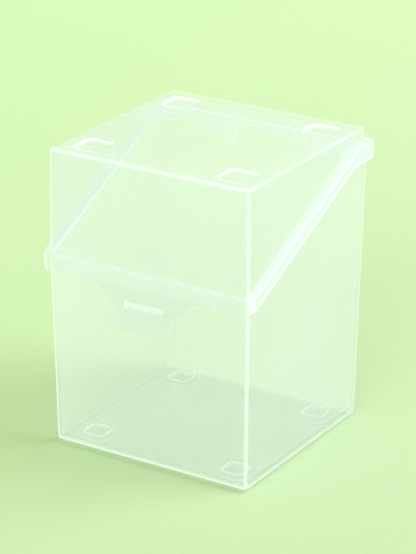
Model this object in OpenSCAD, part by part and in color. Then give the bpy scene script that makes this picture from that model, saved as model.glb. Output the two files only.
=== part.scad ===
// Upright deck box for sleeved trading cards: a tapered tub with a slanting mouth, and a deep
// hinged lid whose skirt laps outside the tub's rim and carries a snap tongue at the front.
// Millimetres, +Z up, front towards -Y. The origin is on the surface that the box stands on,
// under the middle of the whole box, tab and hinge included.

/* [Box] */
// Outside width of the walls at the front rim
box_w = 74.2; // [70:0.1:82]
// Outside depth of the walls at the front rim
box_d = 72.3; // [68:0.1:80]
// Height from the underside of the floor to the top of the roof
box_h = 100; // [96:0.5:110]
// Wall, floor and roof thickness
wall = 1.2; // [1:0.1:1.5]
// Radius of the upright corners, outside
corner_r = 1.6; // [1.3:0.1:2.5]
// Lean of the tub's walls, wider towards the top, in degrees
tub_draft = 0.9; // [0.5:0.1:1.2]
// Lean of the lid's walls, narrower towards the roof, in degrees
lid_draft = 0.6; // [0.3:0.1:1]

/* [Lid line] */
// Height of the skirt's top edge at the front, above the underside of the floor
front_line = 65.3; // [60:0.1:70]
// Height of the skirt's top edge at the back
back_line = 96; // [93:0.1:97]
// Slope of the skirt along the sides, in degrees
side_slope = 25.4; // [24:0.1:27]
// Height of the skirt at the front
skirt_front = 6.2; // [5.6:0.1:6.6]
// Height of the skirt along the sides, measured upright
skirt_side = 5; // [4.5:0.1:5.4]
// Height of the skirt at the back
skirt_back = 6.2; // [6:0.1:6.6]
// How far the skirt stands out from the tub's front and back walls
skirt_step = 1.45; // [1.4:0.05:1.8]
// How far the skirt stands out from the tub's side walls
skirt_wide = 2.3; // [1.8:0.05:2.6]
// Gap between the skirt and the tub's front and back walls
skirt_gap = 0.25; // [0.2:0.05:0.3]

/* [Latch] */
// Width of the tongue at its root
tongue_w = 47; // [40:0.5:50]
// Width of the thumb tab at its top
tab_w = 23.4; // [20:0.1:26]
// Width of the thumb tab at its tip
tab_tip_w = 20.6; // [18:0.1:23]
// How far the tip of the tab stands out from the skirt's face
tab_flare = 2.2; // [1.5:0.1:2.5]
// Length of the catch on the tub's front wall
catch_w = 15.6; // [12:0.1:17]
// Radius of the catch
catch_r = 0.8; // [0.6:0.05:0.8]

/* [Hinge] */
// Distance from the middle of the box to the middle of each clip
hinge_x = 22; // [18:0.5:26]
// Width of each clip
clip_w = 10.4; // [8:0.1:12]
// Radius of the axle
axle_r = 1.1; // [1:0.05:1.2]
// Outside radius of the clips and of the brackets' ends
knuckle_r = 2.1; // [2:0.05:2.1]

/* [Feet and pockets] */
// Height of the feet
foot_h = 1; // [0.8:0.1:1.2]
// Width of each foot
foot_w = 9; // [8:0.1:9.4]
// Width of each pocket in the roof
pocket_w = 10.6; // [10.2:0.1:11]
// Depth of each pocket
pocket_deep = 0.9; // [0.7:0.1:1]
// Distance of the feet and pockets from the middle plane, across the box
foot_x = 26.4; // [25:0.1:27]
// Distance of the feet and pockets from the middle plane, front to back
foot_y = 25.4; // [24:0.1:26]

/* [Hidden] */

plastic = [0.88, 0.96, 0.91, 0.5];
edge_plastic = [0.95, 1, 0.97, 0.7];
arc_fn = 24;
round_fn = 48;

// Heights below are above the underside of the floor, which lies foot_h above the ground.
// The walls have their stated width at this height.
gauge_z = 62;
tub_lean = tan(tub_draft);
lid_lean = tan(lid_draft);
slope = tan(side_slope);
reach = 60;
shoulder = 1.3;
rim_gap = 0.3;
slack = 0.3;

// Half sizes of the tub's and the lid's outside at a height, as [across, front to back]
function tub_half(z) = [box_w, box_d] / 2 + [1, 1] * (z - gauge_z) * tub_lean;
function lid_half(z) = [box_w, box_d] / 2 - [1, 1] * (z - gauge_z) * lid_lean;

// The skirt's front face and the point where the sides' slope meets the front line
skirt_y = -(tub_half(front_line)[1] + skirt_step);
rise = back_line - front_line;

// Points [y, z] of the lid line, moved down by drop, from front to back
function lid_line(drop) = [
    [-reach, front_line - drop],
    [skirt_y, front_line - drop],
    [skirt_y + rise / slope, back_line - drop],
    [reach, back_line - drop]
];

// Points [y, z] of the skirt's lower edge: the front stretch turns up at the corner
corner_run = 1;
skirt_foot = front_line - skirt_side + corner_run * slope;
skirt_line = [
    [-reach, front_line - skirt_front],
    [skirt_y, front_line - skirt_front],
    [skirt_y + corner_run, skirt_foot],
    [skirt_y + (rise + skirt_side - skirt_back) / slope, back_line - skirt_back],
    [reach, back_line - skirt_back]
];

// Latch: the tongue hangs from a flexing line inside the skirt's lower part
tongue_t = skirt_step - skirt_gap;
flex_y = skirt_y + tongue_t / 2;
flex_z = front_line - skirt_front + 2.1;
relief_w = 57;
relief_z = flex_z - 0.8;
tab_top_z = 53.2;
tab_tip_z = 47.3;
catch_z = 54.5;
catch_y = -tub_half(catch_z)[1];
groove_r = catch_r + 0.55;
rib_r = groove_r + 0.6;
flex_gap = 0.05;

// Hinge: the axis lies behind the back wall, below the skirt
hinge_y = tub_half(back_line)[1] + 2.3;
hinge_z = back_line - skirt_back - knuckle_r - 0.4;
bore_r = axle_r + 0.08;
cheek_w = 2.5;
mouth_w = 1.7;

foot_r = 2.4;
dimple_w = foot_w - 2 * wall;
floor_t = wall + 0.2;

// The tub's middle lies this far from the middle between the tab's tip and the hinge
middle_y = (tab_flare - skirt_y - hinge_y - knuckle_r) / 2;

// Its children in their place: feet on the ground, the tab's tip and the hinge equally far out
module placed() {
    translate([0, middle_y, foot_h]) children();
}

// A rectangle with rounded corners, given its half sizes
module rounded_plate(half, r) {
    offset(r = r, $fn = arc_fn) square(2 * (half - [r, r]), center = true);
}

// A block with rounded upright corners whose walls lean, between two heights
module leaning_block(low, high, low_half, high_half, r) {
    translate([0, 0, low])
        linear_extrude(height = high - low, slices = 1,
                       scale = [for (i = [0, 1]) high_half[i] / low_half[i]])
            rounded_plate(low_half, r);
}

// The tub's outside, grown outwards by a margin
module tub_block(low, high, grow = 0) {
    margin = [grow, grow];
    leaning_block(low, high, tub_half(low) + margin, tub_half(high) + margin, corner_r + grow);
}

// The skirt's outline: the tub's outside grown by a margin, and further at the sides
module skirt_block(low, high, grow = 0) {
    margin = [grow + skirt_wide - skirt_step, grow];
    leaning_block(low, high, tub_half(low) + margin, tub_half(high) + margin, corner_r + grow);
}

// The lid's outside, grown outwards by a margin
module lid_block(low, high, grow = 0) {
    margin = [grow, grow];
    leaning_block(low, high, lid_half(low) + margin, lid_half(high) + margin, corner_r + grow);
}

// A prism across the box from an outline in [y, z]
module across(points, half_x) {
    rotate([90, 0, 90]) linear_extrude(height = 2 * half_x, center = true) polygon(points);
}

// Everything below, or above, a line of [y, z] points that runs from front to back
module below_line(line) {
    across(concat([[-reach, -5]], line, [[reach, -5]]), reach);
}
module above_line(line) {
    across(concat([[-reach, box_h + 5]], line, [[reach, box_h + 5]]), reach);
}

// Its children at the four places of the feet and pockets
module at_four_corners() {
    for (x = [-foot_x, foot_x], y = [-foot_y, foot_y]) translate([x, y, 0]) children();
}

// Its children at the two hinge places
module at_hinges() {
    for (x = [-hinge_x, hinge_x]) translate([x, 0, 0]) children();
}

// A round bar across the box, centred on x = 0
module bar(y, z, r, length) {
    translate([0, y, z]) rotate([0, 90, 0])
        cylinder(h = length, r = r, center = true, $fn = round_fn);
}

// Floor, four leaning walls and the slanting rim, with a dimple over each foot
module tub_shell() {
    color(plastic) placed() difference() {
        intersection() {
            tub_block(0, back_line);
            below_line(lid_line(shoulder + rim_gap));
        }
        tub_block(floor_t, back_line + 1, grow = -wall);
        at_four_corners() translate([0, 0, floor_t - foot_h]) linear_extrude(height = foot_h + 1)
            rounded_plate([dimple_w, dimple_w] / 2, foot_r - wall);
    }
}

// Four square feet under the floor
module base_feet() {
    color(edge_plastic) placed() translate([0, 0, -foot_h]) at_four_corners()
        linear_extrude(height = foot_h)
        rounded_plate([foot_w, foot_w] / 2, foot_r);
}

// Half-round ridge on the tub's front wall
module latch_catch() {
    color(edge_plastic) placed() difference() {
        bar(catch_y, catch_z, catch_r, catch_w);
        tub_block(0, back_line);
    }
}

// Outline in [y, z] of a bracket's cheek: a gusset from the back wall out to the axis
cheek_points = [
    [tub_half(gauge_z)[1], hinge_z - 4.4],
    [tub_half(back_line)[1], hinge_z - 4.4],
    [hinge_y + knuckle_r * cos(40), hinge_z - knuckle_r * sin(40)],
    [hinge_y, hinge_z + knuckle_r],
    [tub_half(gauge_z)[1], hinge_z + knuckle_r]
];

// Two pairs of cheeks that stand out from the back wall
module hinge_brackets() {
    color(plastic) placed() difference() {
        at_hinges() for (side = [-1, 1])
            translate([side * (clip_w / 2 + slack + cheek_w / 2), 0, 0]) {
                across(cheek_points, cheek_w / 2);
                bar(hinge_y, hinge_z, knuckle_r, cheek_w);
            }
        tub_block(0, back_line);
    }
}

// One round axle between the cheeks of each pair
module hinge_axles() {
    color(edge_plastic) placed() at_hinges()
        bar(hinge_y, hinge_z, axle_r, clip_w + 2 * slack);
}

// Front view outline in [x, z] of the tongue and its tab, below the flexing line
module tongue_outline(grow = 0) {
    half_root = tongue_w / 2 + grow;
    half_tab = tab_w / 2 + grow;
    polygon([
        [-half_root, flex_z], [half_root, flex_z], [half_root, relief_z],
        [half_tab + 2, tab_top_z + 1], [half_tab, tab_top_z],
        [tab_tip_w / 2 + grow, tab_tip_z], [-tab_tip_w / 2 - grow, tab_tip_z],
        [-half_tab, tab_top_z], [-half_tab - 2, tab_top_z + 1], [-half_root, relief_z]
    ]);
}

// Side view outline in [y, z] of the tongue: upright, then flared outwards at the tab
tongue_side = [
    [skirt_y, flex_z], [skirt_y + tongue_t, flex_z], [skirt_y + tongue_t, tab_top_z],
    [skirt_y + tongue_t - tab_flare, tab_tip_z], [skirt_y - tab_flare, tab_tip_z],
    [skirt_y, tab_top_z - 0.2]
];

// Tongue with a round root, a groove that snaps over the catch, and a flared thumb tab
module latch_tongue() {
    color(plastic) placed() difference() {
        union() {
            intersection() {
                across(tongue_side, tongue_w / 2);
                rotate([90, 0, 0]) linear_extrude(height = 2 * reach, center = true)
                    tongue_outline();
            }
            bar(flex_y, flex_z, tongue_t / 2, tongue_w);
            difference() {
                bar(catch_y, catch_z, rib_r, catch_w + 2.4);
                translate([-reach, skirt_y + tongue_t / 2, 0]) cube([2 * reach, reach, box_h]);
            }
        }
        bar(catch_y, catch_z, groove_r, catch_w + 1.2);
    }
}

// Space in the front skirt for the tongue's root, with a relief notch at each end
module tongue_space() {
    bar(flex_y, flex_z, tongue_t / 2 + flex_gap, tongue_w + 2 * flex_gap);
    translate([-tongue_w / 2 - flex_gap, skirt_y - 1, flex_z - skirt_front])
        cube([tongue_w + 2 * flex_gap, tongue_t + 2, skirt_front]);
    translate([-relief_w / 2, skirt_y - 1, relief_z - skirt_front])
        cube([relief_w, tongue_t + 2, skirt_front]);
}

// Roof with four pockets, four leaning walls, and the shoulder and skirt at the lower edge
module lid_shell() {
    color(plastic) placed() difference() {
        union() {
            difference() {
                union() {
                    intersection() {
                        lid_block(gauge_z, box_h);
                        above_line(lid_line(shoulder / 2));
                    }
                    intersection() {
                        skirt_block(front_line - skirt_front, back_line, grow = skirt_step);
                        above_line(skirt_line);
                        below_line(lid_line(0));
                    }
                }
                lid_block(gauge_z - 5, box_h - wall, grow = -wall);
                intersection() {
                    skirt_block(0, back_line + 1, grow = skirt_gap);
                    below_line(lid_line(shoulder));
                }
            }
            at_four_corners() translate([0, 0, box_h - wall - pocket_deep])
                linear_extrude(height = wall)
                    rounded_plate([1, 1] * (pocket_w / 2 + wall), foot_r + wall);
        }
        at_four_corners() translate([0, 0, box_h - pocket_deep])
            linear_extrude(height = 2 * pocket_deep) rounded_plate([pocket_w, pocket_w] / 2, foot_r);
        tongue_space();
    }
}

// Outline in [y, z] of a clip's arm: from the skirt's back face down to the axis
arm_points = [
    [tub_half(back_line)[1] + skirt_gap + 0.1, hinge_z],
    [tub_half(back_line)[1] + skirt_gap + 0.1, back_line - skirt_back],
    [tub_half(back_line)[1] + skirt_gap + 0.1, back_line - skirt_back + 3],
    [hinge_y + knuckle_r * cos(20), hinge_z + knuckle_r * sin(20)],
    [hinge_y, hinge_z]
];

// Two C-shaped clips under the back skirt, open downwards
module hinge_clips() {
    color(edge_plastic) placed() difference() {
        at_hinges() {
            across(arm_points, clip_w / 2);
            bar(hinge_y, hinge_z, knuckle_r, clip_w);
        }
        intersection() {
            skirt_block(front_line, back_line, grow = skirt_step);
            above_line(skirt_line);
        }
        at_hinges() {
            bar(hinge_y, hinge_z, bore_r, 2 * clip_w);
            translate([-clip_w, hinge_y - mouth_w / 2, hinge_z - 2 * knuckle_r])
                cube([2 * clip_w, mouth_w, 2 * knuckle_r]);
        }
    }
}

tub_shell();
base_feet();
latch_catch();
hinge_brackets();
hinge_axles();
lid_shell();
hinge_clips();
latch_tongue();
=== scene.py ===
import math

import bmesh
import bpy
from mathutils import Matrix, Vector
from mathutils.geometry import tessellate_polygon


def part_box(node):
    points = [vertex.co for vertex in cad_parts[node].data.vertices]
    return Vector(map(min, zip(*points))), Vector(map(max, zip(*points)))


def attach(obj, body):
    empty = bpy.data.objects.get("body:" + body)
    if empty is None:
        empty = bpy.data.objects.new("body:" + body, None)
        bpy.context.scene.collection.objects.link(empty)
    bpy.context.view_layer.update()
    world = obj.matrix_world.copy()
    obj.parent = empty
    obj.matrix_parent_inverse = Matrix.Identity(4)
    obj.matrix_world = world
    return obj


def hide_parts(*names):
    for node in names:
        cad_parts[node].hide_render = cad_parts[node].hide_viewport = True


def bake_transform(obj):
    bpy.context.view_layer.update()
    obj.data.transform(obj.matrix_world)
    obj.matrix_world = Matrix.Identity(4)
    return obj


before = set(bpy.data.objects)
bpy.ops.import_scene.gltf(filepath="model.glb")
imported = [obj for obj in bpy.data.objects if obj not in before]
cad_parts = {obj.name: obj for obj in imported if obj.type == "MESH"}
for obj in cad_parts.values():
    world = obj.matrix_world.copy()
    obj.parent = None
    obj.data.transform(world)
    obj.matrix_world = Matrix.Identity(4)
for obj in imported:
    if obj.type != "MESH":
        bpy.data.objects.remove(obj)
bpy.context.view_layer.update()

# ---------------------------------------------------------------- places and sizes
# Shapes are worked out in millimetres about the middle of the tub, with heights above the
# underside of its floor, as the CAD does. Their place in the frame comes from the feet.
MM = 0.001
feet_low, feet_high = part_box("base_feet")
MIDDLE_Y = (feet_low.y + feet_high.y) / 2
FLOOR_Z = feet_high.z

# The outside walls' half sizes are HALF_X and HALF_Y at the height SPLIT_Z
SPLIT_Z, HALF_X, HALF_Y, BOX_H = 62.0, 37.1, 36.15, 100.0
FLOOR_T, WALL, CORNER_R = 1.4, 1.2, 1.6
TUB_LEAN, LID_LEAN = math.tan(math.radians(0.9)), math.tan(math.radians(0.6))
SLOPE = math.tan(math.radians(25.4))
FRONT_LINE, BACK_LINE = 65.3, 96.0
# How far the skirt reaches down from its top edge, how far it stands out from the tub with how
# much more at the sides, its gap to the tub, and how far the tub's rim ends below its top edge
SKIRT_FRONT, SKIRT_SIDE, SKIRT_BACK = 6.2, 5.0, 6.2
SKIRT_STEP, SKIRT_MORE, SKIRT_GAP, RIM_DROP = 1.45, 0.85, 0.25, 1.6
NOTCH_HALF = 28.5
FOOT_SPOTS = [(x, y) for x in (-26.4, 26.4) for y in (-25.4, 25.4)]
CATCH_Z, CATCH_R, CATCH_HALF = 54.5, 0.8, 7.8
ROOT_HALF, ROOT_Z = 23.5, 60.4


def tub_half(z):
    return HALF_X + (z - SPLIT_Z) * TUB_LEAN, HALF_Y + (z - SPLIT_Z) * TUB_LEAN


def lid_half(z):
    return HALF_X - (z - SPLIT_Z) * LID_LEAN, HALF_Y - (z - SPLIT_Z) * LID_LEAN


def skirt_half(z, step=SKIRT_MORE):
    """The tub's half sizes, with the skirt's further step at the sides."""
    return tub_half(z)[0] + step, tub_half(z)[1]


def fillet_half(out):
    """The half sizes part of the way out to the skirt's further step, from 0 to 1."""
    return lambda z: skirt_half(z, SKIRT_MORE * out)


SKIRT_Y = -(tub_half(FRONT_LINE)[1] + SKIRT_STEP)
CATCH_Y = -tub_half(CATCH_Z)[1]
HINGE_Y, HINGE_Z = tub_half(BACK_LINE)[1] + 2.3, 87.3
HINGE_X, CLIP_HALF, CHEEK_W, AXLE_R, BORE_R, KNUCKLE_R = 22.0, 5.2, 2.5, 1.1, 1.18, 2.1
CHEEK_GAP, CHEEK_REACH, MOUTH_HALF, ARM_GAP, CLIP_TOP = 0.3, 4.4, 0.85, 0.35, 91.55
FLARE_TOP, FLARE_SLOPE, RIB_R, GROOVE_R = 53.5, 0.386, 1.95, 1.35


def lid_line(y, x):
    """Height of the skirt's top edge at y."""
    return min(FRONT_LINE + max(y - SKIRT_Y, 0.0) * SLOPE, BACK_LINE)


def skirt_foot(y, x):
    """Height of the skirt's lower edge, with the tongue's root and a notch beside it.

    Over the first millimetre from the front it climbs from the front's height to the side's.
    """
    if abs(x) <= ROOT_HALF:
        return ROOT_Z
    side = min(FRONT_LINE - SKIRT_SIDE + (y - SKIRT_Y) * SLOPE, BACK_LINE - SKIRT_BACK)
    front = FRONT_LINE - SKIRT_FRONT + max(y - SKIRT_Y, 0.0) * (SLOPE + SKIRT_FRONT - SKIRT_SIDE)
    low = min(front, side) if y < SKIRT_Y + 1.0 else side
    return max(low, ROOT_Z) if abs(x) < NOTCH_HALF else low


def at(x, y, z):
    """A point of the frame, in metres, from millimetres about the tub's middle."""
    return Vector((x * MM, MIDDLE_Y + y * MM, FLOOR_Z + z * MM))


# ---------------------------------------------------------------- mesh building
def columns(xs, ys, turn=6):
    """Upright lines round a rounded rectangle: (kind, place, side), from the front's left end."""
    sides = (("x", -1, sorted(xs)), ("y", 1, sorted(ys)),
             ("x", 1, sorted(xs, reverse=True)), ("y", -1, sorted(ys, reverse=True)))
    corners = ((1, -1), (1, 1), (-1, 1), (-1, -1))
    cols = []
    for quarter, ((kind, side, places), corner) in enumerate(zip(sides, corners)):
        cols += [(kind, place, side) for place in places]
        cols += [("turn", math.radians(90 * (quarter + i / turn) - 90), corner)
                 for i in range(turn + 1)]
    return cols


def spot(col, half, radius):
    """Where one upright line stands, for a rectangle of these half sizes."""
    kind, place, side = col
    if kind != "turn":
        far = half[0 if kind == "x" else 1] - radius
        place = max(-far, min(far, place))
        return (place, side * half[1]) if kind == "x" else (side * half[0], place)
    return (side[0] * (half[0] - radius) + radius * math.cos(place),
            side[1] * (half[1] - radius) + radius * math.sin(place))


def at_front(col):
    return col[0] == "x" and col[2] < 0


def share(col, sides):
    """A number given for the front, right, back and left sides, blended round the corners."""
    kind, place, side = col
    if kind == "turn":
        place = math.degrees(place) / 90 + 1
        first = math.floor(place + 1e-6)
        return sides[first % 4] + (sides[(first + 1) % 4] - sides[first % 4]) * (place - first)
    return sides[(0 if side < 0 else 2) if kind == "x" else (1 if side > 0 else 3)]


class Skin:
    """A mesh made row by row. Its "edge" attribute paints a highlight that whitens the plastic up
    to 1, or paints shade by clearing it below 0, and the sides tuples scale that for the front,
    right, back and left, by how the light falls on each side."""

    def __init__(self):
        self.bm = bmesh.new()
        self.edge = self.bm.verts.layers.float.new("edge")

    def vert(self, x, y, z, edge=0.0):
        v = self.bm.verts.new(at(x, y, z))
        v[self.edge] = edge
        return v

    def row(self, cols, form, inset, height, edge=0.0, push=None, corner=0.0, sides=None):
        """A ring at an inset from a wall's outside, at a height or along a line of heights."""
        ring = []
        for col in cols:
            near = col[1] if at_front(col) else 99.0
            d = inset(near) if callable(inset) else inset
            radius = max(CORNER_R - d, 0.3 if d < 1.5 else 1.0)
            x, y, z = 0.0, col[2] * 30.0 if col[0] == "x" else 0.0, height
            for _ in range(5 if callable(height) else 1):
                z = height(y, near) if callable(height) else height
                half = [h - d for h in form(z)]
                x, y = spot(col, half, radius)
            if push and at_front(col):
                y -= push * max(0.0, min(1.0, (CATCH_HALF + 0.3 - abs(x)) / 0.3))
            here = edge * share(col, sides) if sides else edge
            here = max(here, corner * self.bow(col)) if col[0] == "turn" else here
            ring.append(self.vert(x, y, z, here))
        return ring

    @staticmethod
    def bow(col):
        """How much of a corner's painted highlight its upright line carries: all of it in the
        middle.
        """
        away = abs(math.degrees(col[1]) % 90 - 45)
        return max(0.0, min(1.0, ((46 if col[2][0] == col[2][1] else 28) - away) / 14))

    def square(self, cx, cy, half, radius, z, edge=0.0, turn=5):
        ring = []
        for quarter, (sx, sy) in enumerate(((1, -1), (1, 1), (-1, 1), (-1, -1))):
            for i in range(turn + 1):
                a = math.radians(90 * (quarter + i / turn) - 90)
                ring.append(self.vert(cx + sx * (half - radius) + radius * math.cos(a),
                                      cy + sy * (half - radius) + radius * math.sin(a), z, edge))
        return ring

    def stub(self, spot_at, profile):
        """Squares about one spot, closed at the last. Gives the first, to be joined on."""
        rings = [self.square(*spot_at, half, r, z, e) for half, r, z, e in profile]
        self.bridge(rings)
        self.cap(rings[-1])
        return rings[0]

    def bridge(self, rings, gap=None):
        """Quads between rings. gap(k, i) leaves out quad i between rings k and k + 1."""
        for k, (a, b) in enumerate(zip(rings, rings[1:])):
            for i in range(len(a)):
                j = (i + 1) % len(a)
                if not (gap and gap(k, i)):
                    self.bm.faces.new((a[i], a[j], b[j], b[i]))

    def cap(self, outer, *holes):
        """Flat triangles inside outer, round any holes."""
        rings = (outer, *holes)
        verts = [v for ring in rings for v in ring]
        for tri in tessellate_polygon([[v.co / MM for v in ring] for ring in rings]):
            self.bm.faces.new([verts[i] for i in tri])

    def piece(self, name, body, slot, material, *nodes):
        bm = self.bm
        bmesh.ops.remove_doubles(bm, verts=bm.verts, dist=2e-7)
        bmesh.ops.dissolve_degenerate(bm, edges=bm.edges, dist=1e-7)
        bmesh.ops.recalc_face_normals(bm, faces=bm.faces)
        mesh = bpy.data.meshes.new(name)
        bm.to_mesh(mesh)
        bm.free()
        mesh.shade_smooth()
        mesh.materials.append(material)
        ob = bpy.data.objects.new(name, mesh)
        bpy.context.scene.collection.objects.link(ob)
        mod = ob.modifiers.new("weighted", "WEIGHTED_NORMAL")
        mod.weight, mod.keep_sharp = 60, True
        if body:
            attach(ob, body)
        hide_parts(*nodes)
        return ob


# ---------------------------------------------------------------- plastic
def node(nt, kind, inputs=(), **props):
    n = nt.nodes.new(kind)
    for key, value in props.items():
        setattr(n, key, value)
    for key, value in dict(inputs).items():
        if isinstance(value, bpy.types.NodeSocket):
            nt.links.new(value, n.inputs[key])
        else:
            n.inputs[key].default_value = value
    return n


def maths(nt, operation, a, b=0.0, clamp=False):
    n = node(nt, "ShaderNodeMath", {0: a, 1: b}, operation=operation, use_clamp=clamp)
    return n.outputs[0]


def polypropylene(name, haze, shift, tone, glow=1.0, middle=0.95):
    """Milky clear moulded polypropylene: thin haze in the walls, with a painted highlight whitening
    every moulded edge.

    shift moves the noise, so that the mouldings differ. glow scales the painted edge highlight, and
    middle the haze in the middle of the roof and the floor.
    """
    mat = bpy.data.materials.new(name)
    mat.use_nodes = True
    nt = mat.node_tree
    nt.nodes.clear()
    own = node(nt, "ShaderNodeTexCoord").outputs["Object"]
    place = node(nt, "ShaderNodeVectorMath", {0: own, 1: shift}, operation="ADD").outputs[0]

    # Slow drift of the haze, as the melt flowed, and a finer cloud over it
    drawn = node(nt, "ShaderNodeVectorMath", {0: place, 1: (1.0, 1.0, 0.35)},
                 operation="MULTIPLY").outputs[0]
    flow = node(nt, "ShaderNodeTexNoise", {"Vector": drawn, "Scale": 38.0, "Detail": 3.0,
                                           "Roughness": 0.45, "Distortion": 0.6}).outputs["Fac"]
    cloud = node(nt, "ShaderNodeTexNoise", {"Vector": place, "Scale": 420.0,
                                            "Detail": 4.0}).outputs["Fac"]
    drift = maths(nt, "ADD", maths(nt, "MULTIPLY", flow, 0.75),
                  maths(nt, "MULTIPLY", cloud, 0.25))
    drift = node(nt, "ShaderNodeMapRange",
                 {"Value": drift, "From Min": 0.32, "From Max": 0.68,
                  "To Min": haze * 0.86, "To Max": haze * 1.14}).outputs[0]

    # The roof and the floor are clearest in their middle and milkier towards the walls
    apart = node(nt, "ShaderNodeSeparateXYZ", {0: own})
    out = maths(nt, "MAXIMUM", maths(nt, "ABSOLUTE", apart.outputs[0]),
                maths(nt, "ABSOLUTE", apart.outputs[1]))
    out = node(nt, "ShaderNodeMapRange", {"Value": out, "From Min": 0.018, "From Max": 0.037,
                                          "To Min": middle, "To Max": 1.0},
               interpolation_type="SMOOTHSTEP").outputs[0]
    drift = maths(nt, "MULTIPLY", drift, out)

    # Painted highlight: the edge attribute whitens the moulded edges and corners, standing in for
    # light that runs along inside the walls and comes out there, weaker where a face is seen from
    # inside.
    # Below 0 it clears the haze as painted shade. Fine scuff noise makes the painted whiteness
    # uneven
    edge = node(nt, "ShaderNodeAttribute", attribute_name="edge").outputs["Fac"]
    inside = node(nt, "ShaderNodeNewGeometry").outputs["Backfacing"]
    scuffed_glow = node(nt, "ShaderNodeTexNoise", {"Vector": place, "Scale": 900.0, "Detail": 5.0,
                                            "Roughness": 0.7}).outputs["Fac"]
    scuffed_glow = node(nt, "ShaderNodeMapRange",
                 {"Value": scuffed_glow, "From Min": 0.45, "From Max": 0.75,
                  "To Min": 0.72 * glow, "To Max": 0.84 * glow}).outputs[0]
    outside = maths(nt, "SUBTRACT", 1.0, maths(nt, "MULTIPLY", inside, 0.88))
    rim = maths(nt, "MULTIPLY", maths(nt, "MULTIPLY", edge, scuffed_glow), outside)
    rake = node(nt, "ShaderNodeLayerWeight", {"Blend": 0.5}).outputs["Facing"]
    cover = maths(nt, "ADD", maths(nt, "ADD", drift, rim),
                  maths(nt, "MULTIPLY", maths(nt, "POWER", rake, 3.0), 0.12), clamp=True)

    # Painted highlight colour: the edge attribute turns the tone towards a bluish white
    tint = node(nt, "ShaderNodeMix", data_type="RGBA")
    nt.links.new(edge, tint.inputs[0])
    tint.inputs[6].default_value, tint.inputs[7].default_value = (*tone, 1), (0.9, 0.95, 1.0, 1)
    tint = tint.outputs[2]
    satin = node(nt, "ShaderNodeMapRange", {"Value": cloud, "From Min": 0.3, "From Max": 0.7,
                                            "To Min": 0.34, "To Max": 0.46}).outputs[0]
    grain = node(nt, "ShaderNodeTexNoise", {"Vector": place, "Scale": 2600.0,
                                            "Detail": 2.0}).outputs["Fac"]
    grain = maths(nt, "ADD", maths(nt, "MULTIPLY", grain, 0.3), maths(nt, "MULTIPLY", flow, 0.7))
    bump = node(nt, "ShaderNodeBump", {"Height": grain, "Strength": 0.12,
                                       "Distance": 0.0006}).outputs[0]

    front = node(nt, "ShaderNodeBsdfPrincipled", {"Base Color": tint, "Roughness": satin,
                                                  "IOR": 1.49, "Normal": bump}).outputs[0]
    through = node(nt, "ShaderNodeBsdfTranslucent", {"Color": tint}).outputs[0]
    body = node(nt, "ShaderNodeMixShader", {0: 0.5, 1: front, 2: through}).outputs[0]
    clear = node(nt, "ShaderNodeBsdfTransparent", {"Color": (1, 1, 1, 1)}).outputs[0]
    mixed = node(nt, "ShaderNodeMixShader", {0: cover, 1: clear, 2: body}).outputs[0]
    shine = node(nt, "ShaderNodeBsdfGlossy", {"Color": (1, 1, 1, 1), "Roughness": satin,
                                              "Normal": bump}).outputs[0]
    glance = maths(nt, "ADD", maths(nt, "MULTIPLY", maths(nt, "POWER", rake, 5.0), 0.35), 0.02)
    mixed = node(nt, "ShaderNodeMixShader", {0: glance, 1: mixed, 2: shine}).outputs[0]
    node(nt, "ShaderNodeOutputMaterial", {"Surface": mixed})
    return mat


TUB_SHIFT, LID_SHIFT = (0.31, 0.12, 0.05), (0.77, 0.45, 0.63)
# Painted shade: the hinge parts and the tongue are darker-toned copies of the plastic, and the
# hinge parts carry a weaker painted edge highlight
HINGE_SHADE_TONE, HINGE_GLOW = (0.6, 0.67, 0.72), 0.15
tub_plastic = polypropylene("tub_polypropylene", 0.178, TUB_SHIFT, (0.82, 0.88, 0.96))
lid_plastic = polypropylene("lid_polypropylene", 0.158, LID_SHIFT, (0.77, 0.82, 0.97), middle=0.6)
shaded_tongue_plastic = polypropylene("tongue_polypropylene_shaded", 0.14, LID_SHIFT, (0.65, 0.72, 0.82))
tub_hinge = polypropylene("tub_hinge_polypropylene", 0.07, TUB_SHIFT, HINGE_SHADE_TONE, HINGE_GLOW)
lid_hinge = polypropylene("lid_hinge_polypropylene", 0.06, LID_SHIFT, HINGE_SHADE_TONE, HINGE_GLOW)

# ---------------------------------------------------------------- tub
# Rows go by inset, height or drop, and painted whiteness. UPRIGHT is how strong the painted
# highlight on the upright corners is, and INNER_BACK clears the inside of the back wall as painted
# shade
UPRIGHT = 0.85
INNER_BACK = (0, 0, -0.1, 0)
tub = Skin()
tub_cols = columns((-33.9, -CATCH_HALF - 0.3, -CATCH_HALF, CATCH_HALF, CATCH_HALF + 0.3, 33.9),
                   (-33.0, SKIRT_Y + (BACK_LINE - FRONT_LINE) / SLOPE, 33.0))


def rim(drop):
    """The tub's slanting rim as a line of heights, some way below its very top."""
    return lambda y, x: lid_line(y, x) - RIM_DROP - drop


# A painted highlight whitens the tub's rounded foot and the strip of wall just above it
rows = [tub.row(tub_cols, tub_half, d, z, e, corner=1) for d, z, e in
        ((1.0, 0.0, 0), (0.5, 0.0, 1), (0.15, 0.15, 1), (0.0, 0.5, 1), (0.0, 0.85, 0.9),
         (0.0, 1.2, 0.35), (0.0, 1.8, 0.3))]
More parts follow.
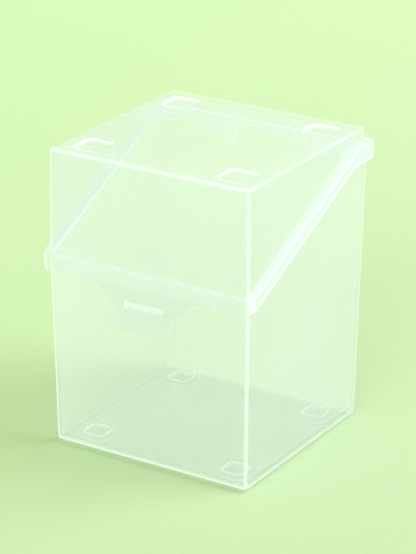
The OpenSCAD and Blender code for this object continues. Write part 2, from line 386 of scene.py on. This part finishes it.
# Painted shade: the front and back walls are cleared a little up to the rim, so they look darker
# than the sides
tub_wall = (-0.09, 0, -0.08, 0)
rows.append(tub.row(tub_cols, tub_half, 0.0, 2.4, 1, corner=UPRIGHT, sides=tub_wall))
for i in range(-5, 6):
    turned = math.radians(18 * i)
    lift = CATCH_R * math.cos(turned)
    rows.append(tub.row(tub_cols, tub_half, 0.0, CATCH_Z + CATCH_R * math.sin(turned), 1,
                        push=lift, corner=UPRIGHT, sides=tub_wall))
rows.append(tub.row(tub_cols, tub_half, 0.0, rim(0.6), 1, corner=UPRIGHT, sides=tub_wall))
# Painted highlight on the rim, strongest on the left and the back and weakest on the right
tub_rim = (0.4, 0.1, 0.6, 1)
rows += [tub.row(tub_cols, tub_half, d, rim(drop), 1, corner=1, sides=tub_rim)
         for d, drop in ((0.0, 0.25), (0.07, 0.07), (0.25, 0.0))]
rows += [tub.row(tub_cols, tub_half, d, rim(drop), 1, sides=tub_rim)
         for d, drop in ((0.95, 0.0), (1.13, 0.07), (WALL, 0.25))]
rows += [tub.row(tub_cols, tub_half, WALL, z, 1, sides=INNER_BACK)
         for z in (rim(0.6), FLOOR_T + 0.6)]
rows += [tub.row(tub_cols, tub_half, d, z) for d, z in
         ((1.38, FLOOR_T + 0.18), (1.8, FLOOR_T), (2.6, FLOOR_T))]
tub.bridge(rows)
# Feet and the dimples over them: (half size, corner radius, height, whiteness). The whiteness is a
# painted highlight on the feet's sides and the dimples' top rims
FOOT = ((4.75, 2.6, 0.0, 0), (4.57, 2.45, -0.07, 0.3), (4.5, 2.4, -0.25, 0.35),
        (4.5, 2.4, -0.7, 0.35), (4.41, 2.3, -0.91, 0.35), (4.2, 2.1, -1.0, 0.25),
        (3.5, 1.6, -1.0, 0))
DIMPLE = ((4.5, 2.2, FLOOR_T, 0), (4.0, 1.8, FLOOR_T, 0.7), (3.6, 1.5, FLOOR_T, 0.7),
          (3.38, 1.3, FLOOR_T - 0.08, 0.4), (3.3, 1.2, FLOOR_T - 0.3, 0.2),
          (3.3, 1.2, 0.7, 0.2), (3.21, 1.1, 0.49, 0.1), (3.0, 0.9, 0.4, 0))
feet, dimples = [], []
for where in FOOT_SPOTS:
    feet.append(tub.stub(where, FOOT))
    dimples.append(tub.stub(where, DIMPLE))
tub.cap(rows[0], *feet)
tub.cap(rows[-1], *dimples)
tub.piece("tub_moulding", "tub", "tub_plastic", tub_plastic,
          "tub_shell", "base_feet", "latch_catch")

# ---------------------------------------------------------------- lid
lid = Skin()
# The close pairs of columns stand on both sides of the notches' ends and of the tongue's root
lid_cols = columns((-33.9, -28.8, -28.4, -23.9, -ROOT_HALF, ROOT_HALF, 23.9, 28.4, 28.8, 33.9),
                   (-33.0, SKIRT_Y + (BACK_LINE - FRONT_LINE + SKIRT_SIDE - SKIRT_BACK) / SLOPE,
                    SKIRT_Y + (BACK_LINE - FRONT_LINE) / SLOPE, 33.0))


def along(line, rise):
    """A line of heights, moved up."""
    return lambda y, x: line(y, x) + rise


def foot_row(outer, inset, rise, edge, sides=(0.12, 1, 0.3, 0.8)):
    """A row of the skirt's rounded lower edge. Over the tongue's root it stays on the wall.
    Its painted highlight is strongest at the right and the left.
    """
    stays = -SKIRT_STEP if outer else -SKIRT_GAP
    return lid.row(lid_cols, skirt_half, lambda x: stays if abs(x) <= ROOT_HALF else inset,
                   lambda y, x: skirt_foot(y, x) + (0.0 if abs(x) <= ROOT_HALF else rise), edge,
                   corner=1.0 if outer else 0.0, sides=sides)


# Painted highlight round the roof: a faint band inside its edge, strongest at the back and left,
# then its rounded edge, strongest at the front
rows = [lid.row(lid_cols, lid_half, d, BOX_H, e, corner=e, sides=(0.5, 0.6, 1, 1))
        for d, e in ((4.1, 0), (1.6, 0.16))]
rows += [lid.row(lid_cols, lid_half, d, z, e, corner=1, sides=(0.8, 0.3, 0.2, 0.2))
         for d, z, e in ((0.75, BOX_H, 0.6), (0.18, 99.82, 1), (0.0, 99.4, 1))]
# Painted shade: the lid's front and back walls are cleared a little
lid_wall = (-0.04, 0, -0.08, 0)
rows += [lid.row(lid_cols, lid_half, 0.0, z, 1, corner=UPRIGHT, sides=lid_wall)
         for z in (98.9, along(lid_line, 1.2))]
# Painted highlight on the skirt's ledge and its rounded top edge, strongest at the left, cleared a
# little at the front as painted shade
ledge = (-0.1, 0.5, 0.2, 0.8)
rows += [lid.row(lid_cols, lid_half, d, along(lid_line, rise), e, corner=0.6, sides=ledge)
         for d, rise, e in ((0.0, 0.4, 0.1), (-0.1, 0.1, 0.35))]
# The skirt's upper edge: a quarter of an ellipse from the ledge's flat out to the face
LEDGE_FLAT, FILLET_OUT, FILLET_DOWN = 0.35, 1.1, 1.3
for turned, e in ((0, 0.6), (20, 0.65), (40, 0.55), (60, 0.45), (78, 0.45)):
    out, down = math.sin(math.radians(turned)), 1 - math.cos(math.radians(turned))
    rows.append(lid.row(lid_cols, fillet_half(out), -LEDGE_FLAT - FILLET_OUT * out,
                        along(lid_line, -FILLET_DOWN * down), e, corner=0.6, sides=ledge))
# Painted highlight down the skirt's face and its lower edge, strongest at the right, cleared at the
# front as painted shade
face = (-0.3, 1, 0.25, 0.8)
rows.append(lid.row(lid_cols, skirt_half, -SKIRT_STEP, along(lid_line, -FILLET_DOWN), 0.45,
                    corner=1, sides=face))
rows.append(foot_row(True, -SKIRT_STEP, 1.5, 0.5, face))
rows += [foot_row(True, d, rise, e) for d, rise, e in
         ((-SKIRT_STEP, 1.05, 1), (-SKIRT_STEP, 0.3, 1), (-1.36, 0.09, 1), (-1.15, 0.0, 0.8))]
opening = len(rows) - 1
rows += [foot_row(False, d, rise, e) for d, rise, e in
         ((-0.5, 0.0, 1), (-0.32, 0.07, 1), (-SKIRT_GAP, 0.25, 0.6), (-SKIRT_GAP, 0.5, 0))]
# The skirt's inner edge and the lid's rim carry a painted highlight too
rows += [lid.row(lid_cols, form, d, along(lid_line, rise), e) for form, d, rise, e in
         ((skirt_half, -SKIRT_GAP, -1.6, 0), (skirt_half, -SKIRT_GAP, -1.3, 0.6),
          (lid_half, 0.95, -1.3, 0.6), (lid_half, 1.13, -1.23, 0.6),
          (lid_half, WALL, -1.05, 0.6))]
rows += [lid.row(lid_cols, lid_half, WALL, z, 1, sides=INNER_BACK)
         for z in (along(lid_line, -0.7), 98.3)]
rows += [lid.row(lid_cols, lid_half, d, z) for d, z in ((1.35, 98.65), (1.7, 98.8), (2.5, 98.8))]


def over_root(k, i):
    """True for the quads of the lower edge where the tongue carries on."""
    a, b = lid_cols[i], lid_cols[(i + 1) % len(lid_cols)]
    return k == opening and at_front(a) and at_front(b) and max(abs(a[1]), abs(b[1])) <= ROOT_HALF


lid.bridge(rows, over_root)
# Pockets in the roof and their undersides inside. The pockets' walls and the bosses' sides carry a
# painted highlight
POCKET = ((5.9, 2.9, BOX_H, 0), (5.38, 2.47, 99.92, 0.3), (5.3, 2.4, 99.7, 1),
          (5.2, 2.3, 99.45, 1), (5.12, 2.2, 99.3, 1), (4.9, 2.0, 99.1, 0.6), (4.3, 1.6, 99.1, 0))
BOSS = ((6.8, 3.8, 98.8, 0), (6.57, 3.65, 98.72, 0), (6.5, 3.6, 98.5, 0.3), (6.5, 3.6, 98.2, 0.3),
        (6.4, 3.5, 97.98, 0.3), (6.15, 3.3, 97.9, 0))
pockets, bosses = [], []
for where in FOOT_SPOTS:
    pockets.append(lid.stub(where, POCKET))
    bosses.append(lid.stub(where, BOSS))
lid.cap(rows[0], *pockets)
lid.cap(rows[-1], *bosses)
lid.piece("lid_moulding", "lid", "lid_plastic", lid_plastic, "lid_shell")

# ---------------------------------------------------------------- latch tongue
# The tongue's outline, as (height, half width), down to its thumb tab
EDGE_LINE = ((60.4, 23.5), (60.3, 22.2), (60.1, 21.0), (59.8, 20.1), (59.4, 19.4), (58.9, 18.8),
             (58.2, 17.95), (57.2, 16.7), (56.2, 15.45), (55.783, 14.93), (55.585, 14.68),
             (55.35, 14.4), (55.0, 13.95), (54.5, 13.3), (54.0, 12.7), (53.65, 12.3),
             (53.415, 12.05), (53.217, 11.87), (52.9, 11.7), (52.5, 11.6), (51.5, 11.4),
             (50.0, 11.05), (48.6, 10.75), (48.0, 10.55), (47.75, 10.35), (47.6, 10.15),
             (47.4, 9.85), (47.3, 9.65))
tongue = Skin()
rings = []
for z, w in EDGE_LINE:
    fall = FLARE_TOP - z
    flare = FLARE_SLOPE * (0.0 if fall < 0 else fall * fall / 2 if fall < 1 else fall - 0.5)
    lean = min(1.0, (ROOT_Z - z) / 0.5)
    tip = 0.3 if z < 47.35 else 0.08 if z < 47.5 else 0.0
    rise = abs(z - CATCH_Z)
    rib = max(0.0, SKIRT_Y - (CATCH_Y - math.sqrt(max(RIB_R ** 2 - rise ** 2, 0.0))))
    groove = max(0.0, (SKIRT_Y + WALL) - (CATCH_Y - math.sqrt(max(GROOVE_R ** 2 - rise ** 2, 0.0))))
    outer, inner = [], []
    across = [(-w, 0.3, 1), (-w + 0.08, 0.08, 1), (-w + 0.3, 0.0, 1), (-w + 0.55, 0.0, 0)]
    across += [(x, 0.0, 0) for x in
               (-9.0, -8.75, -8.4, -8.1, -7.6, -7.2, -5.5, 0.0, 7.0, 7.6, 8.1, 8.4, 8.75, 9.0)]
    across += [(-x, d, e) for x, d, e in reversed(across[:4])]
    for x, d, e in across:
        d = max(d * lean, tip)
        raised = rib if abs(x) < 8.9 else 0.0
        sunk = groove if abs(x) < 8.3 else 0.0
        # Painted highlight along the tongue's edges, weaker on the thumb tab, and a painted glint
        # along the rib, brightest at its left end
        painted_light_fade = 1.0 if z > FLARE_TOP else 0.45
        rib_glint = 1.0 if x < -6.0 else 0.65
        near = max(e * lean * painted_light_fade, rib_glint if rib > 0 and abs(x) < 7.5 else 0.0)
        outer.append(tongue.vert(x, SKIRT_Y - flare - raised + d, z, near))
        inner.append(tongue.vert(x, SKIRT_Y + WALL - flare - sunk - d, z, 0.0))
    rings.append(outer + inner[::-1])
tongue.bridge(rings)
last, count = rings[-1], len(rings[-1]) // 2
for i in range(count - 1):
    tongue.bm.faces.new((last[i], last[i + 1], last[2 * count - 2 - i], last[2 * count - 1 - i]))
tongue_piece = tongue.piece("latch_tongue_moulding", None, "lid_plastic", shaded_tongue_plastic,
                            "latch_tongue")
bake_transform(tongue_piece)

# ---------------------------------------------------------------- hinge


def inset_outline(points, by):
    """The closed outline moved inwards by a small distance. Points run anticlockwise."""
    moved = []
    for i, p in enumerate(points):
        a, b = Vector(points[i - 1]), Vector(points[(i + 1) % len(points)])
        p = Vector(p)
        n1 = Vector((-(p - a).y, (p - a).x)).normalized()
        n2 = Vector((-(b - p).y, (b - p).x)).normalized()
        mitre = (n1 + n2).normalized()
        moved.append(p + mitre * by / max(mitre.dot(n1), 0.5))
    return moved


def bar_of(skin, outline, x0, x1, open_sides=()):
    """A bar across the box from an anticlockwise [y, z] outline, with rounded ends."""
    rings = []
    # The bar's rounded ends carry a painted edge highlight, and its middle a faint one
    for x, by, e in ((x0, 0.16, 1), (x0 + 0.05, 0.05, 1), (x0 + 0.16, 0.0, 1),
                     (x0 + 0.5, 0.0, 0.3), (x1 - 0.5, 0.0, 0.3), (x1 - 0.16, 0.0, 1),
                     (x1 - 0.05, 0.05, 1), (x1, 0.16, 1)):
        rings.append([skin.vert(x, y, z, e) for y, z in inset_outline(outline, by)])
    skin.bridge(rings, lambda k, i: i in open_sides)
    for ring in (rings[0], rings[-1]):
        skin.bm.faces.new(ring)


def arc(radius, start, stop, steps):
    """Points [y, z] round the hinge's axis, by degrees."""
    return [(HINGE_Y + radius * math.cos(math.radians(start + (stop - start) * i / steps)),
             HINGE_Z + radius * math.sin(math.radians(start + (stop - start) * i / steps)))
            for i in range(steps + 1)]


cheek_low, cheek_high = HINGE_Z - CHEEK_REACH, HINGE_Z + KNUCKLE_R
cheek = [(tub_half(cheek_low)[1], cheek_low), (tub_half(BACK_LINE)[1], cheek_low),
         *arc(KNUCKLE_R, -40, 90, 14), (tub_half(cheek_high)[1], cheek_high)]
brackets = Skin()
for side in (-1, 1):
    for inner in (-1, 1):
        mid = side * HINGE_X + inner * (CLIP_HALF + CHEEK_GAP + CHEEK_W / 2)
        bar_of(brackets, cheek, mid - CHEEK_W / 2, mid + CHEEK_W / 2, (len(cheek) - 1,))
brackets.piece("hinge_bracket_cheeks", "tub", "tub_plastic", tub_hinge, "hinge_brackets")

axles = Skin()
for side in (-1, 1):
    rings = []
    for x, r in ((-5.5, 1.22), (-5.42, 1.12), (-CLIP_HALF, AXLE_R), (CLIP_HALF, AXLE_R),
                 (5.42, 1.12), (5.5, 1.22)):
        # The pins carry a painted highlight all over
        rings.append([axles.vert(side * HINGE_X + x, y, z, 0.7) for y, z in arc(r, 0, 345, 23)])
    axles.bridge(rings)
axles.piece("hinge_axle_pins", "tub", "tub_plastic", tub_hinge, "hinge_axles")

# A clip: an arm down from the skirt's foot, and a C round the axle with its mouth below
arm_y, arm_top = tub_half(BACK_LINE)[1] + ARM_GAP, BACK_LINE - SKIRT_BACK
face_low, face_high = tub_half(arm_top)[1] + SKIRT_STEP, tub_half(CLIP_TOP)[1] + SKIRT_STEP
mouth = [math.degrees(math.acos(MOUTH_HALF / radius)) for radius in (KNUCKLE_R, BORE_R)]
meet = math.degrees(math.acos((arm_y - HINGE_Y) / KNUCKLE_R))
clip = [(face_high, CLIP_TOP), (face_low, arm_top), (arm_y, arm_top),
        *arc(KNUCKLE_R, meet, 180 + mouth[0], 8), *arc(BORE_R, 180 + mouth[1], -mouth[1], 20),
        *arc(KNUCKLE_R, -mouth[0], 20, 10)]
clips = Skin()
for side in (-1, 1):
    bar_of(clips, clip, side * HINGE_X - CLIP_HALF, side * HINGE_X + CLIP_HALF, (0, 1))
clips.piece("hinge_clip_hooks", "lid", "lid_plastic", lid_hinge, "hinge_clips")

# ---------------------------------------------------------------- camera
bearing, tilt, roll = math.radians(32.005), math.radians(21.925), math.radians(0.185)
forward = Vector((-math.sin(bearing) * math.cos(tilt), math.cos(bearing) * math.cos(tilt),
                  -math.sin(tilt)))
right = Vector((math.cos(bearing), math.sin(bearing), 0.0))
up = right.cross(forward)
across_view = math.cos(roll) * right + math.sin(roll) * up
up_view = math.cos(roll) * up - math.sin(roll) * right
camera = bpy.data.objects.new("camera", bpy.data.cameras.new("camera"))
camera.data.lens, camera.data.sensor_width = 164.39, 36.0
camera.data.clip_start, camera.data.clip_end = 0.05, 50.0
camera.matrix_world = Matrix.Translation(at(401.016, -641.775, 356.987)) @ Matrix(
    (across_view, up_view, -forward)).transposed().to_4x4()
bpy.context.scene.collection.objects.link(camera)
bpy.context.scene.camera = camera

# ---------------------------------------------------------------- floor, lights
paper = bpy.data.materials.new("green_paper")
paper.use_nodes = True
nt = paper.node_tree
shader = nt.nodes["Principled BSDF"]
place = node(nt, "ShaderNodeTexCoord").outputs["Object"]
apart = node(nt, "ShaderNodeSeparateXYZ", {0: place})
# Painted light and shade on the paper: its colour is darker towards the right and lighter towards
# the back, standing in for how the light falls
paper_and_painted_light = (0.432, 0.597, 0.331)
for axis, low, high, painted_light_slope in ((0, -0.4, 0.15, (-0.049, -0.113, -0.026)),
                                (1, -0.15, 0.55, (0.09, 0.097, 0.094))):
    painted_light_fade = node(nt, "ShaderNodeMapRange", {"Value": apart.outputs[axis], "From Min": low,
                                           "From Max": high}).outputs[0]
    paper_and_painted_light = node(nt, "ShaderNodeVectorMath", {0: painted_light_fade, 1: painted_light_slope, 2: paper_and_painted_light},
                 operation="MULTIPLY_ADD").outputs[0]
nt.links.new(paper_and_painted_light, shader.inputs["Base Color"])
shader.inputs["Roughness"].default_value = 0.9
shader.inputs["Specular IOR Level"].default_value = 0.1
fibre = node(nt, "ShaderNodeTexNoise",
             {"Vector": place, "Scale": 900.0, "Detail": 3.0}).outputs["Fac"]
fibre = node(nt, "ShaderNodeBump",
             {"Height": fibre, "Strength": 0.05, "Distance": 0.0005}).outputs[0]
nt.links.new(fibre, shader.inputs["Normal"])
bm = bmesh.new()
bmesh.ops.create_circle(bm, cap_ends=True, segments=96, radius=6.0)
floor_mesh = bpy.data.meshes.new("floor")
bm.to_mesh(floor_mesh)
bm.free()
floor_mesh.materials.append(paper)
floor = bpy.data.objects.new("floor", floor_mesh)
floor.location.z = -0.03 * MM
bpy.context.scene.collection.objects.link(floor)


def softbox(name, stands, size, power, colour):
    """A round area light that points at the box."""
    lamp = bpy.data.lights.new(name, "AREA")
    lamp.shape, lamp.size, lamp.energy, lamp.color = "DISK", size, power, colour
    ob = bpy.data.objects.new(name, lamp)
    ob.location = stands
    ob.rotation_euler = (Vector(AIM) - Vector(stands)).to_track_quat("-Z", "Y").to_euler()
    bpy.context.scene.collection.objects.link(ob)


AIM = (0.0, 0.0, 0.05)
softbox("key", (1.3, 0.75, 1.42), 1.7, 49.0, (0.86, 0.84, 1.0))
softbox("fill", (0.35, -1.7, 0.9), 1.6, 27.5, (0.88, 0.91, 1.0))
world = bpy.data.worlds.new("studio")
world.use_nodes = True
sky = world.node_tree.nodes["Background"].inputs
sky["Color"].default_value, sky["Strength"].default_value = (0.93, 1.0, 0.58, 1), 0.84
bpy.context.scene.world = world
bpy.context.scene.view_settings.view_transform = "Standard"
bpy.context.scene.cycles.transparent_max_bounces = 48

bpy.context.view_layer.update()
